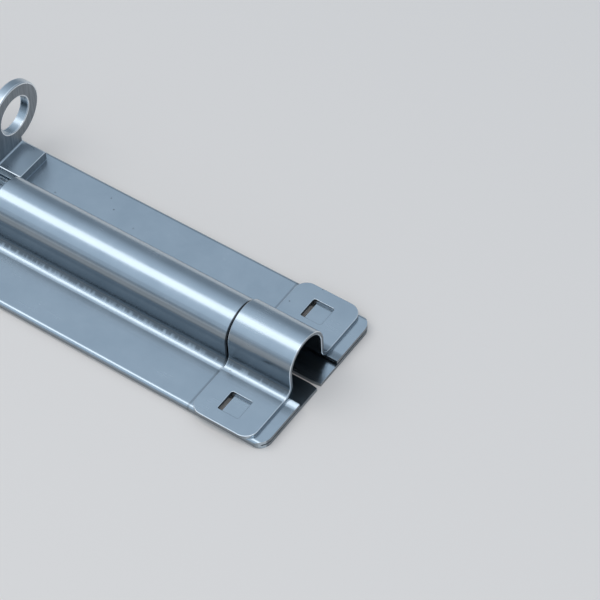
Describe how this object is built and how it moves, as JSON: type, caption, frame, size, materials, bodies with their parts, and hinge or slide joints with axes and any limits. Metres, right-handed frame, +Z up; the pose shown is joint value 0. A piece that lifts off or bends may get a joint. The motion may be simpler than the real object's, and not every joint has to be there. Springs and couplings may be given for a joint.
{
  "type": "padbolt",
  "caption": "Sliding round bolt in a folded steel body, with an eyed handle that meets a fixed staple for a padlock, and a loose keeper.",
  "frame": {"origin": "middle of the body's back, on the seam line, midway between the four square fixing holes", "axes": "+X along the bolt towards its nose, +Y across to the side of the staple and the handle's eye, +Z up off the back"},
  "size_m": [0.2205, 0.0568, 0.0268],
  "materials": {
    "zinc_sheet": "bright zinc plated sheet",
    "zinc_plate": "bright zinc plated plate with sheared edges",
    "zinc_bar": "bright zinc plated round bar"
  },
  "bodies": {
    "body": {"body": "zinc_sheet", "keeper": "zinc_sheet", "staple": "zinc_plate"},
    "bolt": {"bolt": "zinc_bar"},
    "handle": {"handle": "zinc_plate"}
  },
  "joints": [
    {"name": "bolt_slide", "type": "slide", "parent": "body", "child": "bolt", "axis": [1, 0, 0], "range_m": [0, 0.045]},
    {"name": "handle_turn", "type": "hinge", "parent": "bolt", "child": "handle", "pos_m": [-0.0597, 0, 0.0075], "axis": [1, 0, 0], "range_deg": [0, 130]}
  ]
}
